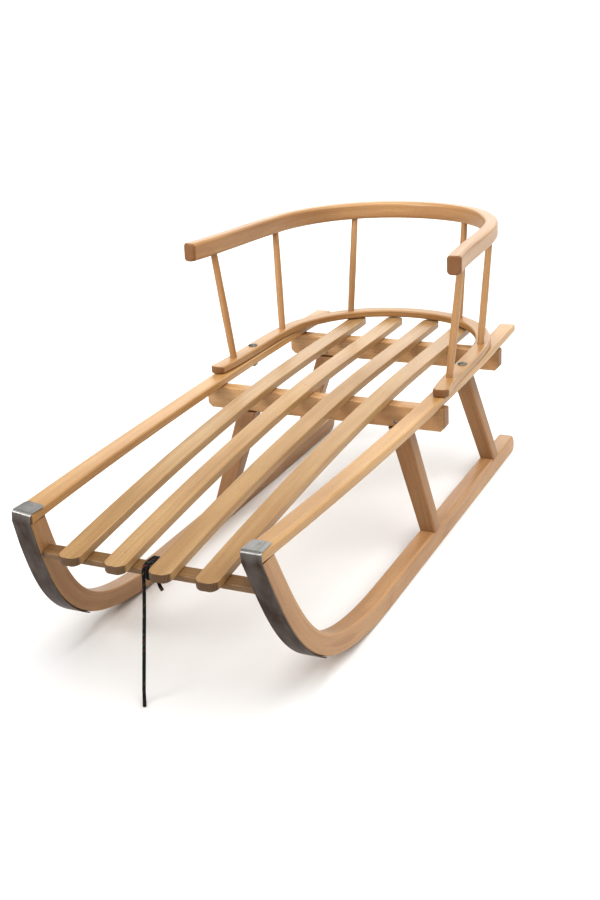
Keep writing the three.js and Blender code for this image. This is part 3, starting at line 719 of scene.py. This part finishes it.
def proud_tip(side):
    """The left nose sits a little proud: its tip is lifted and rolled outwards, fading below and behind."""
    def change(points):
        height = np.clip((points[:, 2] - LEFT_TIP["low"]) / (SEAT_BASE - LEFT_TIP["low"]), 0, 1)
        share = height * np.clip(1 - points[:, 1] / LEFT_TIP["reach"], 0, None) ** 2
        moved = points.copy()
        moved[:, 2] += share * (LEFT_TIP["rise"] + LEFT_TIP["roll"] * (-points[:, 0] - LEFT_TIP["middle"]))
        return moved
    return change if side < 0 else None


def lean(side):
    """Leans a runner or its strip with the runner's top inwards."""
    lift = proud_tip(side)

    def change(points):
        moved = points.copy()
        moved[:, 0] -= side * RUNNER["lean"] * moved[:, 2]
        return lift(moved) if lift else moved
    return change


def make_runner(side, name, material):
    """Rings across the bent nose, then along the floor, then round the rear end."""
    middle = side * (RUNNER["face"] - RUNNER["thickness"] / 2)
    outer = bezier(NOSE_OUTER, 48)
    inner = bezier(NOSE_INNER, 48)
    pairs = [((y0, z0), (y1, z1)) for (y0, z0), (y1, z1) in zip(outer, inner)]
    end, height, ease = RUNNER["end"], RUNNER["height"], RUNNER["ease"]
    sole_round, top_round = RUNNER["end_sole_round"], RUNNER["end_top_round"]
    pairs += [((y, 0.0), (y, height)) for y in np.linspace(340, end - sole_round - 2, 26)]
    for angle in range(10, 91, 10):
        y = end - sole_round + sole_round * math.sin(math.radians(angle))
        from_end = end - y
        pairs.append(((y, set_back(from_end, sole_round)), (y, height - set_back(from_end, top_round))))
    stations = []
    along = 0.0
    previous = None
    for index, (low, high) in enumerate(pairs):
        low, high = np.array(low, float), np.array(high, float)
        centre = (low + high) / 2
        if previous is not None:
            along += np.linalg.norm(centre - previous)
        previous = centre
        up = (high - low) / np.linalg.norm(high - low)
        inset = ease if index == len(pairs) - 1 else 0.0
        tall = np.linalg.norm(high - low) - 2 * inset
        ring = corner_ring(RUNNER["thickness"] - 2 * inset, tall, RUNNER["edge"] - inset)
        stations.append(Station((middle, *centre), (1, 0, 0), (0, *up), ring, along))
    build(name, stations, material, lean(side))


def slat_route(front, rear, tip, end):
    tail = [ARCH_BACK[3], (end, SEAT_BASE + GAP)]
    line = chain(bezier(ARCH_NOSE), bezier(ARCH_BACK, 40), np.array(tail, float))
    ahead = line[line[:, 0] > tip]
    line = np.vstack([(tip, np.interp(tip, line[:, 0], line[:, 1])), ahead])
    x = front + (rear - front) * line[:, 0] / RAIL["length"]
    return Route(np.column_stack([x, line[:, 0], line[:, 1] + SLAT["thickness"] / 2]))


def make_slat(name, material):
    size = (SLAT["width"], SLAT["thickness"])
    stations = member(slat_route(**SLATS[name]), size, 1.3, level_side,
                      corner=SLAT["corner"], ease=0.7, step=14)
    build(name, stations, material)


def make_hoop(name, shape, material):
    at = shape["route"]
    back = bezier(at[3:])
    right = chain(bezier(at[:4]), back)
    left = chain(bezier([shape["left_tip"], *at[1:4]]), back)
    plan = chain(left * (-1, 1), right[::-1])
    level = shape["bottom"] + shape["height"] / 2 + shape["rise"] * (at[-1][1] - plan[:, 1])
    route = Route(np.column_stack([plan, level]))

    def upright_side(heading):
        return np.cross((heading[0], heading[1], 0.0), (0.0, 0.0, 1.0))

    size = (shape["width"], shape["height"])
    stations = member(route, size, shape["edge"], upright_side, corner=shape["tip"], ease=1.6, step=7)
    build(name, stations, material)


def make_beam(name, spec, material):
    top, bottom = SEAT_BASE, SEAT_BASE - BEAM["height"]
    half, chamfer, ease = spec["half"], BEAM["chamfer"], BEAM["ease"]
    stations = []
    for distance in distances(2 * half, 30, [ease, chamfer]):
        from_end = min(distance, 2 * half - distance)
        inset = set_back(from_end, ease)
        low = bottom + max(0.0, chamfer - from_end) + inset
        high = top - inset
        ring = corner_ring(BEAM["depth"] - 2 * inset, high - low, BEAM["edge"] - inset)
        place = (distance - half + BEAM["shift"], spec["y"], (low + high) / 2)
        stations.append(Station(place, (0, 1, 0), (0, 0, 1), ring, distance))
    build(name, stations, material)


def make_front_bar(material):
    half = FRONT_BAR["half"]
    slope = np.array([1.0, FRONT_BAR["tilt"]]) / math.hypot(1.0, FRONT_BAR["tilt"])
    forward = np.array([0.0, slope[0], slope[1]])
    up = np.array([0.0, -slope[1], slope[0]])
    centre = np.array([0.0, FRONT_BAR["y"], FRONT_BAR["z"]])
    tenon = corner_ring(BAR_TENON["depth"], BAR_TENON["height"], 1.5)
    whole = corner_ring(FRONT_BAR["depth"], FRONT_BAR["height"], 2.5)
    stations = []
    for x in (-BAR_TENON["half"], -half):
        stations.append(Station(centre + (x, 0, 0), forward, up, tenon, x))
    for x in np.linspace(-half, half, 10):
        stations.append(Station(centre + (x, 0, 0), forward, up, whole, x))
    for x in (half, BAR_TENON["half"]):
        stations.append(Station(centre + (x, 0, 0), forward, up, tenon, x))
    build("front_bar", stations, material)


def make_leg(name, side, spec, material):
    bottom = RUNNER["height"] + GAP
    top = SEAT_BASE - BEAM["height"] - GAP
    low_half, high_half = LEG["foot_thickness"] / 2, LEG["top_thickness"] / 2
    foot = np.array([side * (LEG["foot"] - low_half), spec["leg_foot_y"], bottom])
    head = np.array([side * (spec["leg_top"] - high_half), spec["y"], top])
    low_tenon = corner_ring(FOOT_TENON["width"], FOOT_TENON["depth"], 1.0)
    high_tenon = corner_ring(TOP_TENON["width"], TOP_TENON["depth"], 1.0)
    across, up, grain = (1, 0, 0), (0, 1, 0), LEG["grain_length"]
    low = np.array([side * FOOT_TENON["x"], spec["leg_foot_y"], bottom])
    stations = [
        Station(low - (0, 0, FOOT_TENON["height"]), across, up, low_tenon, -FOOT_TENON["height"]),
        Station(low, across, up, low_tenon, 0),
    ]
    for share in np.linspace(0, 1, 8):
        thickness = 2 * (low_half + (high_half - low_half) * share)
        body = corner_ring(thickness, LEG["depth"], LEG["ease"])
        stations.append(Station(foot + (head - foot) * share, across, up, body, grain * share))
    stations += [
        Station(head, across, up, high_tenon, grain),
        Station(head + (0, 0, TOP_TENON["height"]), across, up, high_tenon, grain + TOP_TENON["height"]),
    ]
    build(name, stations, material)


def make_spindle(name, place, side, material):
    (foot_x, foot_y), (top_x, top_y) = place
    foot = np.array([side * foot_x, foot_y, LOWER_HOOP["bottom"] + LOWER_HOOP["height"]])
    top_z = UPPER_HOOP["bottom"] + UPPER_HOOP["rise"] * (UPPER_HOOP["route"][-1][1] - top_y)
    top = np.array([side * top_x, top_y, top_z])
    length = np.linalg.norm(top - foot)
    heading = (top - foot) / length
    across = np.cross(heading, (0.0, 1.0, 0.0))
    across = across / np.linalg.norm(across)
    up = np.cross(heading, across)
    neck, belly = SPINDLE["neck"] / 2, SPINDLE["belly"] / 2
    marks = [-SPINDLE["foot_socket"], 0, 0.08 * length, 0.25 * length, 0.45 * length, 0.7 * length,
             0.92 * length, length, length + SPINDLE["top_socket"]]
    radii = [neck, neck, neck + 0.4, belly - 0.2, belly, belly - 0.3, neck + 0.3, neck, neck]
    stations = []
    for distance in np.linspace(marks[0], marks[-1], 44):
        near = np.interp([distance - 6, distance, distance + 6], marks, radii).mean()
        stations.append(Station(foot + heading * distance, across, up, round_ring(near), distance))
    build(name, stations, material)


# ---------------------------------------------------------------- steel


def make_nose_strip(side, name, material):
    """A thin plate over the rail's end, bent sharply down and along the outside of the nose."""
    bend, top = STRIP["bend"], RAIL_TOP
    bend_start = STRIP["plate"] - bend
    line = [((y, top), (0.0, 1.0)) for y in np.linspace(STRIP["plate"], bend + 2, 6)]
    for angle in np.linspace(90, 180, 9):
        normal = np.array([math.cos(math.radians(angle)), math.sin(math.radians(angle))])
        line.append(((bend + bend * normal[0], top - bend + bend * normal[1]), tuple(normal)))
    nose = bezier(NOSE_OUTER, 401)
    for share in np.linspace(0.0, STRIP["share"], 40):
        index = round(share * 400)
        way = nose[min(400, index + 1)] - nose[max(0, index - 1)]
        way = way / np.linalg.norm(way)
        line.append((tuple(nose[index]), (way[1], -way[0])))
    middle = side * (RUNNER["face"] - RUNNER["thickness"] / 2)
    stations = []
    along = 0.0
    previous = None
    for index, ((y, z), (ny, nz)) in enumerate(line):
        off = GAP + STRIP["thickness"] / 2
        centre = np.array([middle, y + ny * off, z + nz * off])
        if previous is not None:
            along += np.linalg.norm(centre - previous)
        previous = centre
        width = STRIP["width"] - 2 * set_back(along, 2.5)
        ring = corner_ring(width, STRIP["thickness"], 0.3, arc=3, lead=0.6)
        stations.append(Station(centre, (1, 0, 0), (0, ny, nz), ring, along))
    # the plate and bend are painted pale as highlight and rub, the nose dark as painted reflection and patina
    lit_and_rubbed_share = [np.interp(station.along, (0, bend_start, bend_start + 3, bend_start + 8, along), HIGHLIGHT_AND_RUB)
              for station in facing_out(stations) for _ in station.ring]
    build(name, stations, material, lean(side), {"highlight_and_rub": lit_and_rubbed_share})


def turned(centre, profile):
    """A fastener turned about an upright axis: (radius, height) pairs above a centre."""
    sides = 32
    return [Station(np.add(centre, (0, 0, height)), (1, 0, 0), (0, 1, 0), round_ring(radius, sides), height)
            for radius, height in profile]


def nail_profile(length, head):
    shank = NAIL["shank"] / 2
    return [(0.3, -length), (shank, 2 - length), (shank, -1.2), (head - 0.2, -0.3), (head, -0.05),
            (head - 0.1, 0.12), (0.6 * head, 0.2), (0.1, 0.22)]


def make_slat_nail(name, slat, row, material):
    y, length = SLAT_NAIL_ROWS[row]
    place = SLATS[slat]
    x = place["front"] + (place["rear"] - place["front"]) * y / RAIL["length"]
    line = chain(bezier(ARCH_NOSE), bezier(ARCH_BACK))
    top = np.interp(y, line[:, 0], line[:, 1]) + SLAT["thickness"]
    build(name, turned((x, y, top), nail_profile(length, NAIL["head"] / 2)), material)


def make_strip_nail(name, side, material):
    """Its head is filed down until it is nearly flush with the top plate."""
    top = RAIL_TOP + GAP + STRIP["thickness"]
    profile = nail_profile(STRIP_NAIL["length"], STRIP_NAIL["head"] / 2)
    place = (side * STRIP_NAIL["x"], STRIP_NAIL["y"], top)
    build(name, turned(place, profile), material, proud_tip(side))


def make_bolt(name, side, material):
    """A carriage bolt: a low dome over the hoop and a shank down to the nut."""
    top = LOWER_HOOP["bottom"] + LOWER_HOOP["height"] + GAP
    radius, head = BOLT["diameter"] / 2, BOLT["head"] / 2
    bottom = SEAT_BASE - BOLT["below_seat"] - top
    rim = 0.25
    profile = [(radius - 0.6, bottom), (radius, bottom + 0.8), (radius, -0.05), (head - 0.3, -0.02),
               (head, rim)]
    for angle in range(8, 90, 9):
        share = math.radians(angle)
        profile.append((head * math.cos(share), rim + (BOLT["dome"] - rim) * math.sin(share)))
    build(name, turned((side * BOLT["x"], BOLT["y"], top), profile), material)


# ---------------------------------------------------------------- stage and assembly


def make_stage(material):
    mesh = bpy.data.meshes.new("floor")
    reach = 30.0
    mesh.from_pydata([(-reach, -reach, 0), (reach, -reach, 0), (reach, reach, 0), (-reach, reach, 0)], [],
                     [(0, 1, 2, 3)])
    mesh.materials.append(material)
    floor = bpy.data.objects.new("floor", mesh)
    floor.location.z = -0.0002
    bpy.context.scene.collection.objects.link(floor)


def paint_node(name, material):
    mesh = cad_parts[name].data
    mesh.materials.clear()
    mesh.materials.append(material)


make_camera()
make_rope(braided_cord("rope_braid_cord"))
make_studio()
make_stage(studio_floor("studio_floor"))

# the slats' ends are darkened well past their end grain (0.26) as painted shade
SLAT_WOOD = beech("slat_beech_shaded_ends", toned(SAWN_TONES, 0.86, 0.92, 0.92), 0.26)
RAIL_WOOD = beech("rail_beech", toned(SAWN_TONES, 0.97, 0.98, 0.89))
BEAM_WOOD = beech("beam_beech", toned(SAWN_TONES, 0.98, 1.0, 1.0))
# the front bar is darkened to half as painted shade, for the shadow under the slats' fronts
BAR_WOOD_PAINTED_SHADE = beech("front_bar_beech", toned(SAWN_TONES, 0.5, 0.5, 0.48))
# the legs are darkened as painted shade, for the shade under the seat
LEG_WOOD_PAINTED_SHADE = beech("leg_beech_painted_shade", toned(SAWN_TONES, 0.74, 0.7, 0.68))
SPINDLE_WOOD = beech("spindle_beech", SAWN_TONES)
RUNNER_WOOD = beech("runner_beech", toned(BENT_TONES, 0.98, 0.99, 1.02))
LOWER_HOOP_WOOD = beech("lower_hoop_beech", toned(BENT_TONES, 0.95, 0.97, 0.93))
UPPER_HOOP_WOOD = beech("upper_hoop_beech", toned(BENT_TONES, 1.02, 1.03, 1.02))
# the strip steel carries painted highlight on its plate and bend and painted dark reflection on its nose
STRIP_STEEL = rolled_steel("strip_steel", (0.46, 0.455, 0.44), (0.07, 0.048, 0.038))
STRIP_NAIL_STEEL = plated_steel("strip_nail_steel", (0.44, 0.43, 0.42))
SLAT_NAIL_STEEL = lacquered_head("slat_nail_steel", (0.43, 0.25, 0.125))
PLATED = plated_steel("plated_steel", (0.3, 0.29, 0.27))

for side_name, side_sign in SIDES.items():
    make_rail(side_sign, f"rail_{side_name}", RAIL_WOOD)
    make_runner(side_sign, f"runner_{side_name}", RUNNER_WOOD)
    make_nose_strip(side_sign, f"nose_strip_{side_name}", STRIP_STEEL)
    make_strip_nail(f"strip_nail_{side_name}", side_sign, STRIP_NAIL_STEEL)
    make_bolt(f"backrest_bolt_{side_name}", side_sign, PLATED)
    make_leg(f"leg_front_{side_name}", side_sign, MIDDLE_BEAM, LEG_WOOD_PAINTED_SHADE)
    make_leg(f"leg_rear_{side_name}", side_sign, REAR_BEAM, LEG_WOOD_PAINTED_SHADE)
    for spindle_name, spindle_places in SPINDLES.items():
        make_spindle(f"{spindle_name}_{side_name}", spindle_places[side_name], side_sign, SPINDLE_WOOD)
for slat_name in SLATS:
    make_slat(slat_name, SLAT_WOOD)
    for row_name in SLAT_NAIL_ROWS:
        make_slat_nail(f"{slat_name}_nail_{row_name}", slat_name, row_name, SLAT_NAIL_STEEL)
make_beam("middle_beam", MIDDLE_BEAM, BEAM_WOOD)
make_beam("rear_beam", REAR_BEAM, BEAM_WOOD)
make_front_bar(BAR_WOOD_PAINTED_SHADE)
make_hoop("lower_hoop", LOWER_HOOP, LOWER_HOOP_WOOD)
make_hoop("upper_hoop", UPPER_HOOP, UPPER_HOOP_WOOD)

# the CAD nodes that no piece replaces: dowels, leg pins, washers and nuts
for node_name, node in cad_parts.items():
    if node.hide_render:
        continue
    paint_node(node_name, SPINDLE_WOOD if "dowel" in node_name else PLATED)
